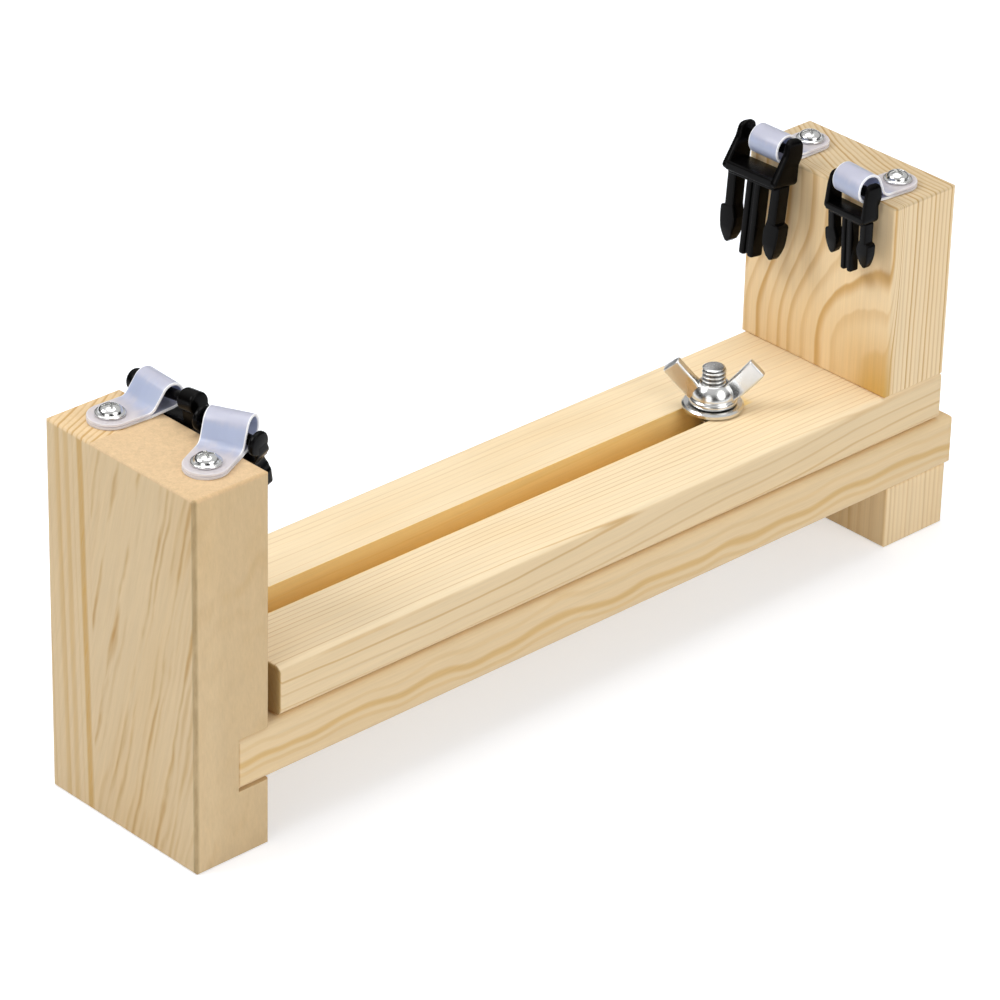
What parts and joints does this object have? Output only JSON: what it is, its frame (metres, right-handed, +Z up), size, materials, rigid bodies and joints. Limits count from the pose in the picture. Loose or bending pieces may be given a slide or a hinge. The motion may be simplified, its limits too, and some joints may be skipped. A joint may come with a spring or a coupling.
{
  "type": "braiding jig",
  "caption": "Wooden braiding jig: a fixed post on a base board, a sliding post on a slotted board clamped by a wing nut, and nylon clips that hold hanging buckle halves.",
  "frame": {"origin": "centre of the outline on the ground", "axes": "+X from the fixed post to the sliding post, +Y to the side with the large buckle, +Z up"},
  "size_m": [0.29, 0.06, 0.1216],
  "materials": {
    "post_pine": "planed and sanded, unvarnished",
    "board_pine": "planed and sanded, unvarnished",
    "zinc_steel": "bright zinc plating",
    "nylon": "milky translucent, smooth",
    "black_plastic": "satin moulded"
  },
  "bodies": {
    "base": {"left_post": "post_pine", "base_board": "board_pine", "foot_block": "post_pine", "foot_screws": "zinc_steel", "carriage_bolt": "zinc_steel", "flat_washer": "zinc_steel", "left_far_clip": "nylon", "left_far_screw": "zinc_steel", "left_near_clip": "nylon", "left_near_screw": "zinc_steel"},
    "slide": {"slide_board": "board_pine", "right_post": "post_pine", "right_post_screws": "zinc_steel", "right_far_clip": "nylon", "right_far_screw": "zinc_steel", "right_near_clip": "nylon", "right_near_screw": "zinc_steel"},
    "nut": {"wing_nut": "zinc_steel"},
    "large_socket_half": {"large_socket": "black_plastic"},
    "small_socket_half": {"small_socket": "black_plastic"},
    "large_plug_half": {"large_plug": "black_plastic"},
    "small_plug_half": {"small_plug": "black_plastic"}
  },
  "joints": [
    {"name": "slide_out", "type": "slide", "parent": "base", "child": "slide", "axis": [1, 0, 0], "range_m": [-0.0042, 0.173]},
    {"name": "nut_turn", "type": "hinge", "parent": "base", "child": "nut", "pos_m": [0.074, 0, 0.0538], "axis": [0, 0, 1], "continuous": true},
    {"name": "large_socket_swing", "type": "hinge", "parent": "base", "child": "large_socket_half", "pos_m": [-0.11722, 0.01728, 0.11615], "axis": [0, -0.9925, 0.1219], "range_deg": [0, 115]},
    {"name": "small_socket_swing", "type": "hinge", "parent": "base", "child": "small_socket_half", "pos_m": [-0.11763, -0.01178, 0.1156], "axis": [0.1727, -0.9826, -0.0677], "range_deg": [0, 50]},
    {"name": "large_plug_swing", "type": "hinge", "parent": "slide", "child": "large_plug_half", "pos_m": [0.1118, 0.017, 0.117], "axis": [0.0219, 0.9992, -0.0346], "range_deg": [0, 140]},
    {"name": "small_plug_swing", "type": "hinge", "parent": "slide", "child": "small_plug_half", "pos_m": [0.11116, -0.01684, 0.1156], "axis": [0.0871, 0.9956, -0.0349], "range_deg": [0, 130]}
  ]
}
